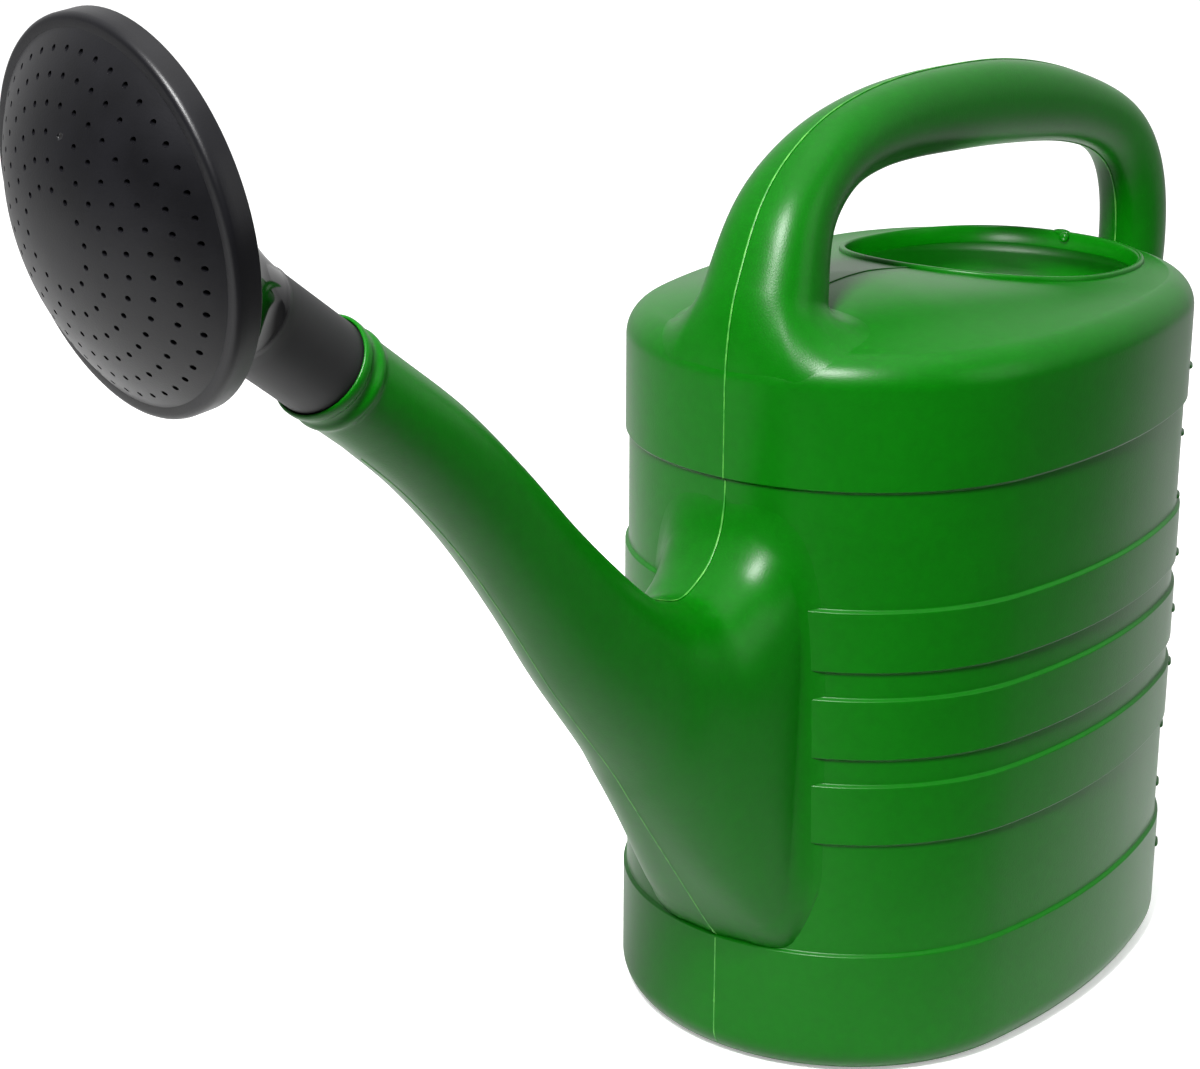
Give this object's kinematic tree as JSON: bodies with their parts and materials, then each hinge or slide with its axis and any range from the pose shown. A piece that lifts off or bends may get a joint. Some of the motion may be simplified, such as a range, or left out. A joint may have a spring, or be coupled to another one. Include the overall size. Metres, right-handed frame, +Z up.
{
  "type": "watering can",
  "caption": "Oval garden watering can with ribbed tank, long curved spout, loop handle over the filling hole and a round perforated sprinkler rose.",
  "frame": {"origin": "centre of the base, on the ground", "axes": "+X the way it pours, along the long axis of the oval tank; +Z up; +Y to the left of someone pouring forwards"},
  "size_m": [0.6412, 0.1882, 0.4306],
  "materials": {
    "green_polyethylene": "satin, as blow moulded",
    "black_polypropylene": "satin to gloss, as injection moulded"
  },
  "bodies": {
    "can": {"can_base": "green_polyethylene", "can_wall": "green_polyethylene", "can_shoulder": "green_polyethylene", "can_spout": "green_polyethylene", "can_handle": "green_polyethylene"},
    "rose": {"rose_funnel": "black_polypropylene"},
    "face": {"rose_face": "black_polypropylene"}
  },
  "joints": [
    {"name": "rose_turn", "type": "hinge", "parent": "can", "child": "rose", "pos_m": [0.341, 0, 0.3194], "axis": [0.809, 0, 0.5878], "continuous": true},
    {"name": "face_pull_off", "type": "slide", "parent": "rose", "child": "face", "axis": [0.9758, -0.1722, -0.1347], "range_m": [0, 0.02]}
  ]
}
